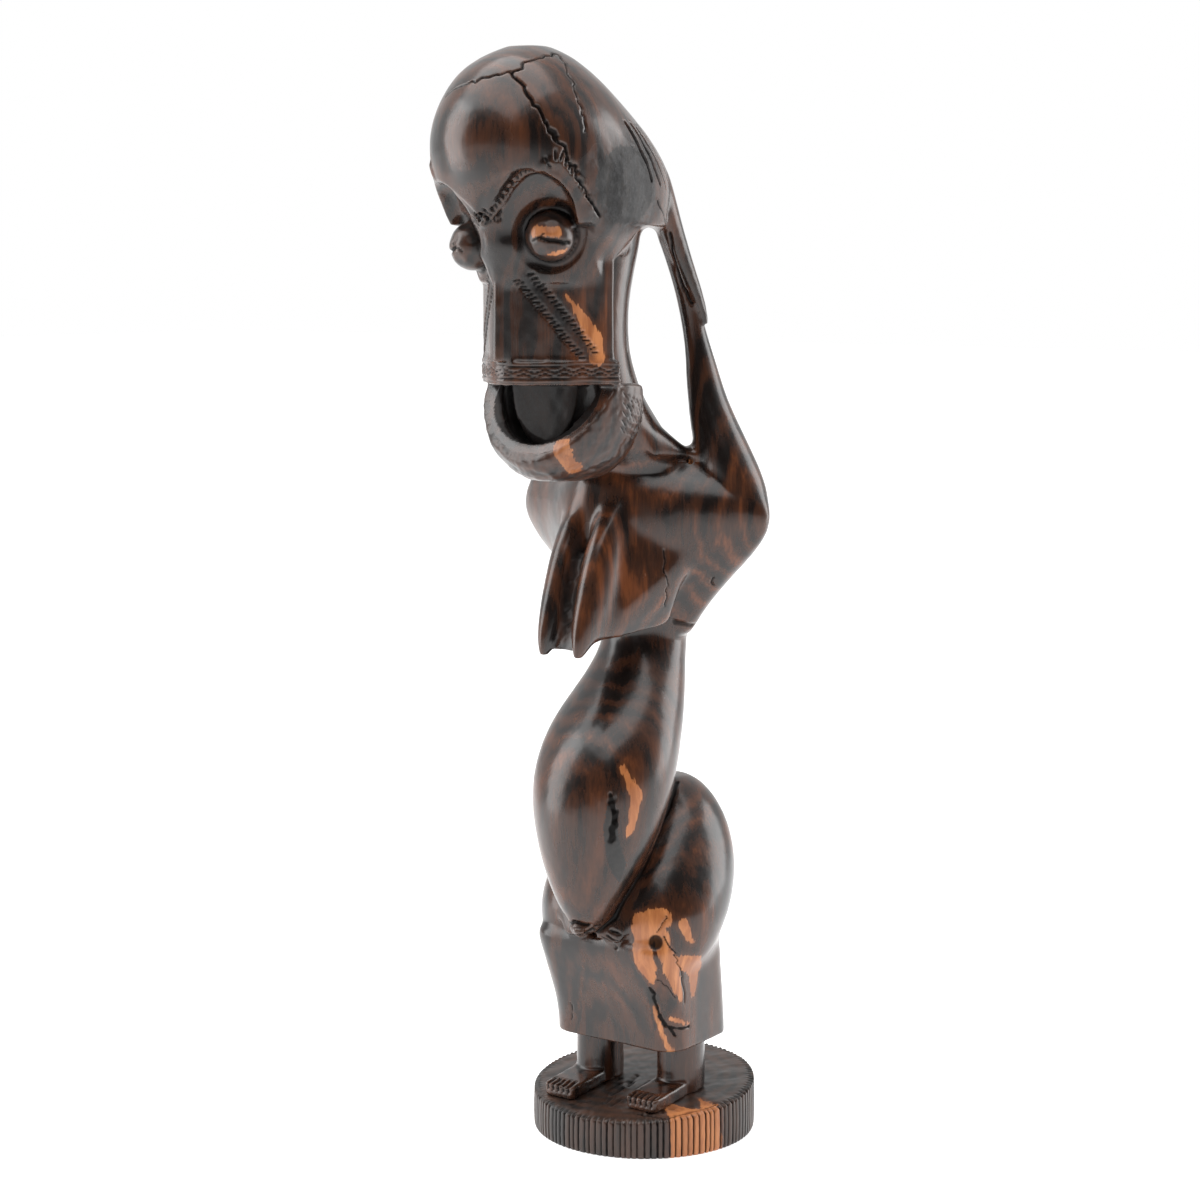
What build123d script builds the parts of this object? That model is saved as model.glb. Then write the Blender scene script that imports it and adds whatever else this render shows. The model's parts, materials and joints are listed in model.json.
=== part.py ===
"""Carved ancestor figure of polished dark hardwood on a round notched plinth.

The figure squats with both arms raised to the back of its head. It faces -Y, its own
left side is +X, and the origin is the middle of the plinth's underside.
"""
from build123d import *

import os
from math import cos, pi, radians, sin

# Plinth, in millimetres and degrees
plinth_radius = 50.0
plinth_thickness = 20.4  # at the middle
plinth_slope = 4.9  # its top rises towards the back
groove_count = 112
groove_depth = 0.9
groove_width = 1.1

# Feet and legs
foot_length = 33.0
foot_width = 16.5
foot_thickness = 6.0
foot_forward = 18.5  # each foot's middle, ahead of the origin
toe_count = 5
toe_notch_depth = 2.4
toe_notch_width = 0.9
stance = 20.5  # each ankle's distance from the middle
stagger = 2.5  # the right foot stands ahead by this, the left behind
ankle_half_width = 10.0
ankle_half_depth = 12.0
ankle_height = 23.5  # plinth top to the underside of the shins
ankle_forward = 3.0
shin_height = 51.5
shin_half_width = 36.5
shin_half_depth = 27.0
shin_corner = 11.0
knee_round = 5.0
thigh_spread = 19.5
thigh_half_width = 24.0
thigh_half_depth = 30.0

# Trunk and arms
trunk_height = 122.0  # knees to waist
belly_radius = 31.0
waist_radius = 19.6
waist_overlap = 16.0  # how far the belly's top reaches up inside the bust
bust_height = 91.0  # waist to the base of the neck
elbow_reach = 65.0
elbow_share = 0.72  # the elbows' height as a share of the bust's
bust_half_depth = 30.0
arm_split = 30.0  # where the upper arms are parted from the chest
breast_spread = 9.0
breast_half_width = 8.5
breast_half_depth = 15.0
forearm_radius = 10.0

# Head
throat_height = 29.5  # base of the neck to the upper lip
face_height = 64.0  # upper lip to the brow's edge
crown_height = 73.5  # brow's edge to the top of the head
neck_half_width = 23.0
neck_half_depth = 20.0
skull_half_width = 43.0
skull_half_depth = 56.0
face_half_width = 33.0
face_front = 99.0  # the middle of the face, ahead of the origin
cheek_back = 68.0  # the rear corner of each cheek, ahead of the origin
brow_rise = 22.0  # how far the face reaches up under the brow
nose_half_width = 6.5
nose_ridge = 1.5
nose_proud = 7.0
nose_length = 31.0
eye_radius = 10.0
eye_spread = 19.6
eye_sink = 4.0  # how far each eye's middle sits behind the middle of the face
eye_drop = 4.0  # left eye's middle below the brow's edge
right_eye_drop = 8.0  # the right one was cut lower
orbit_radius = 21.0
orbit_rise = 5.0  # each hollow's middle above the eye's
orbit_share = 0.78  # how far each hollow's middle stands ahead of the eye's, as a share of its radius
lip_height = 9.5
lip_proud = 1.8
jaw_half_width = 35.0
jaw_drop = 41.5
jaw_rim = 8.0
jaw_half_depth = 40.0
mouth_slant = 60.0
jaw_back = 50.0  # where the jaw's sides stop, ahead of the origin
tongue_half_width = 17.0
tongue_drop = 28.0
tongue_front = 74.0
lock_half_width = 5.5

# Fills and navel
putty_depth = 4.0
putty_half_length = 18.0
putty_half_height = 16.0
putty_ahead = 73.0
putty_rise = 16.0
flaw_half_width = 2.2
belly_flaw_ahead = 46.0
belly_flaw_x = 20.5
belly_flaw_level = 140.0
belly_flaw_half_height = 20.0
shin_flaw_ahead = 27.0
shin_flaw_x = 26.0
shin_flaw_level = 62.0
shin_flaw_half_height = 13.0
navel_ahead = 49.0
navel_level = 101.0
navel_radius = 4.5

# Levels, each one standing on the one below
shin_level = plinth_thickness + ankle_height
knee_level = shin_level + shin_height
waist_level = knee_level + trunk_height
collar_level = waist_level + bust_height
lip_level = collar_level + throat_height
brow_level = lip_level + face_height
elbow_level = waist_level + elbow_share * bust_height
eye_front = face_front - eye_sink
crown_level = brow_level + crown_height

LEFT, RIGHT = 1, -1
eye_levels = {LEFT: brow_level - eye_drop, RIGHT: brow_level - right_eye_drop}
side_names = {LEFT: "left", RIGHT: "right"}
finished = []


def finish(name, piece):
    """Label a finished piece and keep it for export."""
    piece.part.label = name
    finished.append(piece)


# Plinth: a round disc with upright V grooves all round, its top sloping
plinth_top = Plane(
    origin=(0, 0, plinth_thickness),
    x_dir=(1, 0, 0),
    z_dir=(0, -sin(radians(plinth_slope)), cos(radians(plinth_slope))),
)
groove_points = (
    (-groove_width / 2, 0),
    (0, groove_depth),
    (groove_width / 2, 0),
)  # along the rim, inwards
with BuildPart() as plinth:
    with BuildSketch():
        with BuildLine():
            rim = []
            for groove in range(groove_count):
                for along, inwards in groove_points:
                    turn = 2 * pi * groove / groove_count + along / plinth_radius
                    reach = plinth_radius - inwards
                    rim.append((reach * cos(turn), reach * sin(turn)))
            Polyline(*rim, close=True)
        make_face()
    extrude(amount=plinth_radius)
    split(bisect_by=plinth_top, keep=Keep.BOTTOM)
finish("plinth", plinth)

# Shins: both lower legs left in one block, widest and foremost at the knees
shin_sections = (  # share of the height, y, share of the half width, share of the half depth
    (0.00, -2.0, 0.93, 0.90),
    (0.45, -6.0, 0.95, 0.92),
    (0.80, -11.0, 0.98, 0.98),
    (1.00, -13.0, 1.00, 1.00),
)
with BuildPart() as shin_block:
    for share, y, width_share, depth_share in shin_sections:
        with BuildSketch(Plane((0, y, shin_level + share * shin_height))):
            RectangleRounded(
                2 * shin_half_width * width_share,
                2 * shin_half_depth * depth_share,
                shin_corner,
            )
    loft()
    fillet(shin_block.edges().group_by(Axis.Z)[-1], knee_round)

# Belly: a long egg that leans forward from the waist down to the navel
belly_sections = (  # share of the way from knees to waist, y, share of the belly's radius
    (0.02, -43.5, 0.14),
    (0.06, -43.0, 0.27),
    (0.15, -41.5, 0.50),
    (0.35, -36.5, 0.84),
    (0.60, -29.6, 1.00),
    (0.80, -17.5, 0.88),
    (0.92, -7.5, 0.72),
)
with BuildPart() as belly:
    for share, y, size in belly_sections:
        with BuildSketch(Plane((0, y, knee_level + share * trunk_height))):
            Circle(belly_radius * size)
    for height, y in ((waist_level, -2.5), (waist_level + waist_overlap, 0)):
        with BuildSketch(Plane((0, y, height))):
            Circle(waist_radius)
    loft()


# Feet: flat blocks with saw-cut toes, and the ankle posts behind them
def make_foot(side):
    with BuildPart() as piece:
        with BuildSketch(plinth_top):
            with Locations((side * stance, side * stagger - foot_forward)):
                RectangleRounded(foot_width, foot_length, foot_width / 6)
            with Locations((side * stance, side * stagger - foot_forward - foot_length / 2)):
                with GridLocations(foot_width / toe_count, 1, toe_count - 1, 1):
                    Rectangle(toe_notch_width, 2 * toe_notch_depth, mode=Mode.SUBTRACT)
        extrude(amount=foot_thickness)
    return piece


def make_ankle(side, foot):
    with BuildPart() as piece:
        with BuildSketch(Plane((side * stance, side * stagger - ankle_forward, 0))):
            Ellipse(ankle_half_width, ankle_half_depth)
        extrude(amount=shin_level)
        add(plinth.part, mode=Mode.SUBTRACT)
        add(foot.part, mode=Mode.SUBTRACT)
    return piece


for side, side_name in side_names.items():
    foot = make_foot(side)
    finish(f"{side_name}_foot", foot)
    finish(f"{side_name}_ankle", make_ankle(side, foot))

# Thighs: full and rounded, from the seat at the back to the knees in front
thigh_sections = (  # share of the way from knees to waist, x, y, half width, half depth
    (-0.10, 0.5, -12.0, 0.78, 0.62),
    (0.00, 1.0, -10.0, 0.92, 0.88),
    (0.10, 0.5, -6.0, 0.98, 1.00),
    (0.20, -1.5, -1.0, 1.00, 1.00),
    (0.33, -6.0, 5.0, 0.98, 0.86),
    (0.45, -11.0, 9.0, 0.80, 0.62),
    (0.53, -15.0, 11.0, 0.35, 0.26),
)


def make_thigh(side):
    with BuildPart() as piece:
        for share, x, y, width_share, depth_share in thigh_sections:
            middle = (side * (thigh_spread + x), y, knee_level + share * trunk_height)
            with BuildSketch(Plane(middle)):
                Ellipse(thigh_half_width * width_share, thigh_half_depth * depth_share)
        loft()
        split(bisect_by=Plane.YZ, keep=Keep.TOP if side == LEFT else Keep.BOTTOM)
        add(shin_block.part, mode=Mode.SUBTRACT)
        add(belly.part, mode=Mode.SUBTRACT)
    return piece


for side, side_name in side_names.items():
    finish(f"{side_name}_thigh", make_thigh(side))

# Bust: chest and upper arms, a rounded triangle in plan with its corners at the elbows
bust_sections = (  # share of the height, y of the elbow line, share of the reach, front, back
    (0.09, 2.0, 0.35, 0.62, 0.42),
    (0.23, 1.0, 0.49, 1.00, 0.46),
    (0.42, 1.0, 0.74, 1.30, 0.52),
    (0.61, 0.0, 0.97, 1.40, 0.56),
    (0.72, 0.0, 1.00, 1.40, 0.56),
    (0.86, -1.0, 0.80, 1.30, 0.46),
    (1.00, -4.0, 0.52, 1.10, 0.30),
)
with BuildPart() as bust:
    for share, y, reach_share, front, back in bust_sections:
        reach = elbow_reach * reach_share
        ahead = -bust_half_depth * front
        behind = bust_half_depth * back
        with BuildSketch(Plane((0, y, waist_level + share * bust_height))):
            with BuildLine():
                Spline(
                    (0, ahead),
                    (0.40 * reach, 0.74 * ahead),
                    (0.75 * reach, 0.36 * ahead),
                    (reach, 0),
                    (0.80 * reach, 0.55 * behind),
                    (0.45 * reach, 0.90 * behind),
                    (0, behind),
                    (-0.45 * reach, 0.90 * behind),
                    (-0.80 * reach, 0.55 * behind),
                    (-reach, 0),
                    (-0.75 * reach, 0.36 * ahead),
                    (-0.40 * reach, 0.74 * ahead),
                    periodic=True,
                )
            make_face()
    loft()
    add(belly.part, mode=Mode.SUBTRACT)
with BuildPart() as chest:
    add(bust.part)
    split(bisect_by=Plane.YZ.offset(arm_split), keep=Keep.BOTTOM)
    split(bisect_by=Plane.YZ.offset(-arm_split), keep=Keep.TOP)
finish("chest", chest)
for side, side_name in side_names.items():
    with BuildPart() as upper_arm:
        add(bust.part)
        split(
            bisect_by=Plane.YZ.offset(side * arm_split),
            keep=Keep.TOP if side == LEFT else Keep.BOTTOM,
        )
    finish(f"{side_name}_upper_arm", upper_arm)

# Breasts: two long pointed ridges that hang in front of the chest
breast_sections = (  # share of the bust's height, y, share of the half width, of the half depth
    (0.045, -62.3, 0.16, 0.14),
    (0.12, -57.5, 0.50, 0.48),
    (0.25, -49.5, 0.82, 0.86),
    (0.45, -43.0, 0.92, 0.90),
    (0.66, -36.0, 0.82, 0.72),
    (0.84, -27.0, 0.45, 0.40),
)


def make_breast(side):
    with BuildPart() as piece:
        for share, y, width_share, depth_share in breast_sections:
            middle = (side * breast_spread, y, waist_level + share * bust_height)
            with BuildSketch(Plane(middle)):
                Ellipse(breast_half_width * width_share, breast_half_depth * depth_share)
        loft()
        add(bust.part, mode=Mode.SUBTRACT)
        add(belly.part, mode=Mode.SUBTRACT)
        split(bisect_by=Plane.YZ, keep=Keep.TOP if side == LEFT else Keep.BOTTOM)
    return piece


breasts = [make_breast(side) for side in side_names]
for side_name, breast in zip(side_names.values(), breasts):
    finish(f"{side_name}_breast", breast)

# Skull: a tall egg that leans back, flat underneath
skull_sections = (  # share of the height above the brow's edge, y, half width, half depth
    (0.00, -62.5, 0.95, 0.92),
    (0.12, -65.5, 0.99, 0.96),
    (0.31, -69.0, 1.00, 1.00),
    (0.50, -75.5, 0.93, 0.91),
    (0.70, -82.0, 0.77, 0.70),
    (0.83, -84.5, 0.60, 0.52),
    (0.92, -84.5, 0.40, 0.35),
    (0.98, -83.5, 0.18, 0.16),
)
with BuildPart() as skull:
    for share, y, width_share, depth_share in skull_sections:
        with BuildSketch(Plane((0, y, brow_level + share * crown_height))):
            Ellipse(skull_half_width * width_share, skull_half_depth * depth_share)
    loft()

# Forearms: from the elbows up to the back of the head
forearm_sections = (  # share of the way from elbows to brow, x, y, half width, half depth
    (-0.04, 53.0, 0.0, 0.95, 0.80),
    (0.14, 44.0, 0.0, 1.35, 1.15),
    (0.33, 35.5, -1.0, 0.98, 0.98),
    (0.62, 28.5, -4.0, 0.50, 0.56),
    (0.94, 23.0, -13.5, 0.50, 0.56),
    (1.10, 21.0, -19.0, 0.60, 0.65),
)


def make_forearm(side):
    with BuildPart() as piece:
        for share, x, y, width_share, depth_share in forearm_sections:
            middle = (side * x, y, elbow_level + share * (brow_level - elbow_level))
            with BuildSketch(Plane(middle)):
                Ellipse(forearm_radius * width_share, forearm_radius * depth_share)
        loft()
        add(bust.part, mode=Mode.SUBTRACT)
        add(skull.part, mode=Mode.SUBTRACT)
    return piece


forearms = [make_forearm(side) for side in side_names]
for side_name, forearm in zip(side_names.values(), forearms):
    finish(f"{side_name}_forearm", forearm)

# Neck: a stout oval post behind the face, spreading into the shoulders
neck_sections = (  # share of the way from collar to brow, y, half width, half depth
    (-0.10, -18.0, 1.20, 0.85),
    (0.00, -23.0, 1.15, 1.10),
    (0.14, -35.0, 1.08, 1.20),
    (0.45, -50.0, 1.00, 1.00),
    (0.80, -50.0, 1.08, 1.05),
    (1.04, -48.0, 1.20, 1.10),
)
with BuildPart() as neck:
    for share, y, width_share, depth_share in neck_sections:
        height = collar_level + share * (brow_level - collar_level)
        with BuildSketch(Plane((0, y, height))):
            Ellipse(neck_half_width * width_share, neck_half_depth * depth_share)
    loft()
    add(bust.part, mode=Mode.SUBTRACT)
    add(skull.part, mode=Mode.SUBTRACT)
    for breast in breasts:
        add(breast.part, mode=Mode.SUBTRACT)
finish("neck", neck)


def wedge_outline(half_width, front, back):
    """Points of the face's plan, from the left cheek's corner round the front to the right."""
    depth = front - back
    left_side = [
        (half_width, -back),
        (0.86 * half_width, -back - 0.32 * depth),
        (0.55 * half_width, -back - 0.66 * depth),
        (0.22 * half_width, -back - 0.94 * depth),
    ]
    right_side = [(-x, y) for x, y in reversed(left_side)]
    return left_side + [(0, -front)] + right_side


# Face: a wedge in plan, from the rear corners of the cheeks to the middle
with BuildPart() as face:
    with BuildSketch(Plane.XY.offset(lip_level)):
        with BuildLine():
            front_line = Spline(*wedge_outline(face_half_width, face_front, cheek_back))
            Line(front_line @ 0, front_line @ 1)
        make_face()
    extrude(amount=face_height + brow_rise)
    add(neck.part, mode=Mode.SUBTRACT)
    for side in side_names:
        with Locations((side * eye_spread, -eye_front, eye_levels[side])):
            Sphere(eye_radius, mode=Mode.SUBTRACT)

# Skull openings: an arched hollow over each eye, and the room that the face takes up
with BuildPart() as skull_shell:
    add(skull.part)
    for side in side_names:
        orbit_level = eye_levels[side] + orbit_rise
        with Locations((side * eye_spread, -eye_front - orbit_share * orbit_radius, orbit_level)):
            Sphere(orbit_radius, mode=Mode.SUBTRACT)
    add(face.part, mode=Mode.SUBTRACT)
    add(neck.part, mode=Mode.SUBTRACT)

# Eyes: round balls seated in the face
for side, side_name in side_names.items():
    with BuildPart() as eye:
        with Locations((side * eye_spread, -eye_front, eye_levels[side])):
            Sphere(eye_radius)
        add(skull_shell.part, mode=Mode.SUBTRACT)
    finish(f"{side_name}_eye", eye)

# Upper lip: a band round the foot of the face, a little proud of it
with BuildPart() as upper_lip:
    with BuildSketch(Plane.XY.offset(lip_level)):
        with BuildLine():
            lip_line = Spline(
                *wedge_outline(face_half_width + lip_proud, face_front + lip_proud, cheek_back - lip_proud)
            )
            Line(lip_line @ 0, lip_line @ 1)
        make_face()
    extrude(amount=lip_height)
    add(face.part, mode=Mode.SUBTRACT)
    add(neck.part, mode=Mode.SUBTRACT)
finish("upper_lip", upper_lip)

# Nose: a straight block that stands on the lip
with BuildPart() as nose:
    with BuildSketch(Plane.XY.offset(lip_level + lip_height)):
        with BuildLine():
            Polyline(
                (-nose_half_width, -face_front + nose_proud),
                (-nose_ridge, -face_front - nose_proud),
                (nose_ridge, -face_front - nose_proud),
                (nose_half_width, -face_front + nose_proud),
                close=True,
            )
        make_face()
    extrude(amount=nose_length)
    add(face.part, mode=Mode.SUBTRACT)
    add(neck.part, mode=Mode.SUBTRACT)
finish("nose", nose)

# Jaw: a thick bowl with its front cut away on a slant, so that the mouth stands open
jaw_sections = (  # share of the drop below the lip, y, half width, half depth
    (0.00, -55.0, 1.00, 1.00),
    (0.33, -55.0, 0.98, 0.98),
    (0.66, -56.0, 0.83, 0.84),
    (0.88, -58.0, 0.58, 0.64),
    (0.99, -62.0, 0.24, 0.30),
)
mouth_plane = Plane(
    origin=(0, -cheek_back, lip_level),
    x_dir=(1, 0, 0),
    z_dir=(0, -sin(radians(mouth_slant)), cos(radians(mouth_slant))),
)
with BuildPart() as mouth_hollow:
    for share, y, width_share, depth_share in jaw_sections:
        with BuildSketch(Plane((0, y, lip_level - share * (jaw_drop - jaw_rim)))):
            Ellipse(
                (jaw_half_width - jaw_rim) * width_share,
                (jaw_half_depth - jaw_rim) * depth_share,
            )
    loft()
with BuildPart() as jaw:
    for share, y, width_share, depth_share in jaw_sections:
        with BuildSketch(Plane((0, y, lip_level - share * jaw_drop))):
            Ellipse(jaw_half_width * width_share, jaw_half_depth * depth_share)
    loft()
    split(bisect_by=Plane.XZ.offset(jaw_back), keep=Keep.TOP)
    split(bisect_by=mouth_plane, keep=Keep.BOTTOM)
    add(mouth_hollow.part, mode=Mode.SUBTRACT)
    add(neck.part, mode=Mode.SUBTRACT)
    add(bust.part, mode=Mode.SUBTRACT)
finish("jaw", jaw)

# Tongue: a rounded slab that stands in the mouth against the throat
with BuildPart() as tongue:
    with BuildSketch(Plane.XZ.offset(jaw_back)):
        with Locations((0, lip_level)):
            Ellipse(tongue_half_width, tongue_drop)
            Rectangle(
                4 * tongue_half_width,
                2 * tongue_drop,
                align=(Align.CENTER, Align.MIN),
                mode=Mode.SUBTRACT,
            )
    extrude(amount=tongue_front - jaw_back)
    add(neck.part, mode=Mode.SUBTRACT)
    add(jaw.part, mode=Mode.SUBTRACT)
finish("tongue", tongue)

# Putty in the skull's left side, where the wood was rotten
with BuildPart() as head_fill:
    with BuildSketch(Plane.YZ.offset(skull_half_width - putty_depth)):
        with Locations((-putty_ahead, brow_level + putty_rise)):
            Ellipse(putty_half_length, putty_half_height)
    extrude(amount=skull_half_width)
    add(skull_shell.part, mode=Mode.INTERSECT)
with BuildPart() as filled_skull:
    add(skull_shell.part)
    add(head_fill.part, mode=Mode.SUBTRACT)
finish("head_fill", head_fill)
finish("skull", filled_skull)
finish("face", face)

# Resin in two flaws of the front, let in flush: one in the belly and one in the shins
with BuildPart() as belly_resin:
    with BuildSketch(Plane.XZ.offset(belly_flaw_ahead)):
        with Locations((belly_flaw_x, belly_flaw_level)):
            Ellipse(flaw_half_width, belly_flaw_half_height)
    extrude(amount=plinth_radius)
    add(belly.part, mode=Mode.INTERSECT)
with BuildPart() as filled_belly:
    add(belly.part)
    add(belly_resin.part, mode=Mode.SUBTRACT)
finish("belly_fill", belly_resin)
with BuildPart() as shin_resin:
    with BuildSketch(Plane.XZ.offset(shin_flaw_ahead)):
        with Locations((shin_flaw_x, shin_flaw_level)):
            Ellipse(flaw_half_width, shin_flaw_half_height)
    extrude(amount=plinth_radius)
    add(shin_block.part, mode=Mode.INTERSECT)
with BuildPart() as filled_shins:
    add(shin_block.part)
    add(shin_resin.part, mode=Mode.SUBTRACT)
finish("shin_fill", shin_resin)
finish("shin_block", filled_shins)

# Navel: an oval knob let into the foot of the belly
with BuildPart() as navel:
    with Locations((0, -navel_ahead, navel_level)):
        Sphere(navel_radius)
    add(shin_block.part, mode=Mode.SUBTRACT)
with BuildPart() as whole_belly:
    add(filled_belly.part)
    add(navel.part, mode=Mode.SUBTRACT)
finish("navel", navel)
finish("belly", whole_belly)

# Hair locks: one down each side of the back of the head, lying on the forearm to a point
lock_sections = (  # share of the way from brow to crown, x, y, half width, half depth
    (0.66, 18.0, -50.0, 0.70, 1.10),
    (0.50, 21.5, -39.5, 1.00, 1.40),
    (0.28, 23.5, -28.5, 1.10, 1.45),
    (0.05, 25.0, -20.0, 0.95, 1.20),
    (-0.20, 28.0, -12.5, 0.70, 0.90),
    (-0.40, 31.5, -6.5, 0.40, 0.60),
    (-0.56, 34.0, -3.0, 0.12, 0.16),
)


def make_lock(side, forearm):
    with BuildPart() as piece:
        for share, x, y, width_share, depth_share in lock_sections:
            middle = (side * x, y, brow_level + share * crown_height)
            with BuildSketch(Plane(middle)):
                Ellipse(lock_half_width * width_share, lock_half_width * depth_share)
        loft()
        add(skull.part, mode=Mode.SUBTRACT)
        add(forearm.part, mode=Mode.SUBTRACT)
    return piece


for (side, side_name), forearm in zip(side_names.items(), forearms):
    finish(f"{side_name}_hair_lock", make_lock(side, forearm))

os.makedirs("parts", exist_ok=True)
for piece in finished:
    export_step(piece.part, f"parts/{piece.part.label}.step")
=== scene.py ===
import json
import math

import bmesh
import bpy
import numpy as np
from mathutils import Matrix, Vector, noise
from mathutils.bvhtree import BVHTree


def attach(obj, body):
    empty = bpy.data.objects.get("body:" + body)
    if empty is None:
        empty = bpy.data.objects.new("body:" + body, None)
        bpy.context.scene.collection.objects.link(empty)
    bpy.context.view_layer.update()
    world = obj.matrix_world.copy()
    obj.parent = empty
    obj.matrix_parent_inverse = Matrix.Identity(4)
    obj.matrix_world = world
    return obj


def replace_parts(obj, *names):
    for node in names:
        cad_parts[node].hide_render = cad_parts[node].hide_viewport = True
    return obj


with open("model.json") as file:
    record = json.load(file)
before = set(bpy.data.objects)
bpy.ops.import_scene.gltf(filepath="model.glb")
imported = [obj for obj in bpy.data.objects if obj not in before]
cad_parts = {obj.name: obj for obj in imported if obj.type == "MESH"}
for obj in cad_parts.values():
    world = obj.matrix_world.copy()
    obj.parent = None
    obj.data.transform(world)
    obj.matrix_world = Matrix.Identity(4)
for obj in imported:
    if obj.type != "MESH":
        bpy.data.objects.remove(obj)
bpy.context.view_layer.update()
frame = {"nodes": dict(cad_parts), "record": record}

mm = 0.001
dice = np.random.default_rng(11)
both = (1, -1)  # the figure's left side, then its right


class Clay:
    # a worked surface: its points in millimetres, square faces, and what is marked on it
    def __init__(self, points, quads):
        self.points, self.quads = points, quads
        count = len(points)
        sides = np.concatenate([quads[:, (k, (k + 1) % 4)] for k in range(4)])
        sides.sort(axis=1)
        self.edges = np.unique(sides[:, 0].astype(np.int64) * count + sides[:, 1])
        self.edges = np.stack([self.edges // count, self.edges % count], axis=1)
        self.degree = np.bincount(self.edges.ravel(), minlength=count)[:, None]
        # the flaw marks hold the real black of cracks, flaws and knots, and also painted shade darkening
        # grooves, creases, hollows and the mouth
        self.flaw, self.rough, self.edge, self.warm = (np.zeros(count) for _ in range(4))
        self.sap = np.full(count, -9.0)
        self.feel()

    def feel(self):
        # which way each point faces
        a, b, c, d = (self.points[self.quads[:, k]] for k in range(4))
        across = np.cross(c - a, d - b)
        facing = np.zeros_like(self.points)
        for k in range(4):
            for axis in range(3):
                facing[:, axis] += np.bincount(self.quads[:, k], across[:, axis], len(facing))
        self.normals = facing / np.linalg.norm(facing, axis=1, keepdims=True).clip(1e-12)

    def neighbours(self, values):
        near, far = self.edges.T
        count = len(values)
        sums = [np.bincount(near, values[far, k], count) + np.bincount(far, values[near, k], count)
                for k in range(values.shape[1])]
        return np.stack(sums, axis=1) / self.degree

    def rub(self, rounds):
        # rounds holds, for every point, how many times it is rubbed towards its neighbours
        for turn in range(int(rounds.max())):
            weight = np.clip(rounds - turn, 0, 1)[:, None] * 0.6
            self.points += weight * (self.neighbours(self.points) - self.points)

    def touch(self, place):
        return self.points[np.argmin(((self.points - place) ** 2).sum(axis=1))]

    def trace(self, places, step=3.5, shake=0.0):
        # a line through some places, laid down on the surface
        laid = []
        for start, end in zip(np.array(places[:-1], float), np.array(places[1:], float)):
            parts = max(1, round(np.linalg.norm(end - start) / step))
            laid += [start + (end - start) * k / parts for k in range(parts)]
        laid.append(np.array(places[-1], float))
        return np.array([self.touch(place + dice.normal(0, 1, 3) * shake) for place in laid])

    def around(self, line, width):
        line = np.asarray(line, float)
        above = (self.points > line.min(axis=0) - width).all(axis=1)
        below = (self.points < line.max(axis=0) + width).all(axis=1)
        which = np.nonzero(above & below)[0]
        return which, awayFrom(self.points[which], line)

    def cut(self, line, width, depth, flaw=0.0, sharp=False):
        # a groove along a line, or a ridge where the depth is negative
        which, away = self.around(line, width)
        share = np.clip(1 - away / width, 0, 1)
        share = share if sharp else fade(share)
        self.points[which] -= self.normals[which] * (depth * share)[:, None]
        # the flaw share blackens the groove: real black in cracks and flaws, painted shade in carved grooves
        # and creases
        self.flaw[which] = np.maximum(self.flaw[which], flaw * np.clip(share * 1.6, 0, 1))

    def patch(self, places, radii, rise=1.0):
        # pale sapwood along a line, as wide as the radii say; above zero is inside
        places = [self.touch(np.array(place, float)) for place in places]
        for start, end, first, last in zip(places[:-1], places[1:], radii[:-1], radii[1:]):
            along = end - start
            share = np.clip(((self.points - start) @ along) / max(along @ along, 1e-9), 0, 1)
            offset = self.points - start - share[:, None] * along
            offset[:, 2] *= rise
            self.sap = np.maximum(self.sap, first + (last - first) * share - np.linalg.norm(offset, axis=1))


def fade(share):
    return share * share * (3 - 2 * share)


def awayFrom(points, line):
    best = np.full(len(points), 1e9)
    if len(line) == 1:
        return np.linalg.norm(points - line[0], axis=1)
    for start, end in zip(line[:-1], line[1:]):
        along = end - start
        share = np.clip(((points - start) @ along) / max(along @ along, 1e-9), 0, 1)
        best = np.minimum(best, np.linalg.norm(points - start - share[:, None] * along, axis=1))
    return best


def ripple(points, size, seed):
    # soft uneven waves about so many millimetres long, from -1 to 1
    own = np.random.default_rng(seed)
    total = np.zeros(len(points))
    for _ in range(7):
        way = own.normal(0, 1, 3)
        way *= 2 * math.pi / (size * own.uniform(0.7, 1.5)) / np.linalg.norm(way)
        total += np.sin(points @ way + own.uniform(0, 6.3) + 1.3 * np.sin(points @ way[[1, 2, 0]] * 0.7))
    return total / 3.5


def grit(points, size, seed):
    # uneven lumps about so many millimetres across, from -1 to 1
    shift = Vector((seed, seed, seed))
    return np.array([noise.noise(Vector(place) / size + shift) for place in points.tolist()])


def oval(points, middle, size):
    # 1 in the middle of an egg-shaped space, 0 at its skin
    return 1 - np.linalg.norm((points - middle) / size, axis=1)


def mirrored(places, side):
    return [(side * x, y, z) for x, y, z in places]


head = {
    "eyes": {1: (19.6, -95.0, 397.9), -1: (-19.6, -95.0, 393.9)},
    "eyeRadius": 10.0,
    "moatReach": 15.5,
    "moatDepth": 1.3,
    "facets": 0.955,  # how far the flat cuts reach in, as a share of the radius
    "browLine": [(-10, -113, 402.5), (-1.5, -114, 402.5), (3, -114, 405), (9.5, -112.5, 413), (18, -112, 422),
                 (25, -109.5, 426), (31, -104.5, 426.5), (35.5, -97, 418), (37.5, -91, 409)],
    "chipLength": 4.2,
    "ladderTop": (7.5, -96.5, 382),
    "ladderFoot": (27, -79, 350),
    "ladderRungs": 21,
    "lipLevels": (338.8, 340.6, 345.7),
    "lipWaves": (342.2, 343.9),
}

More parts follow.
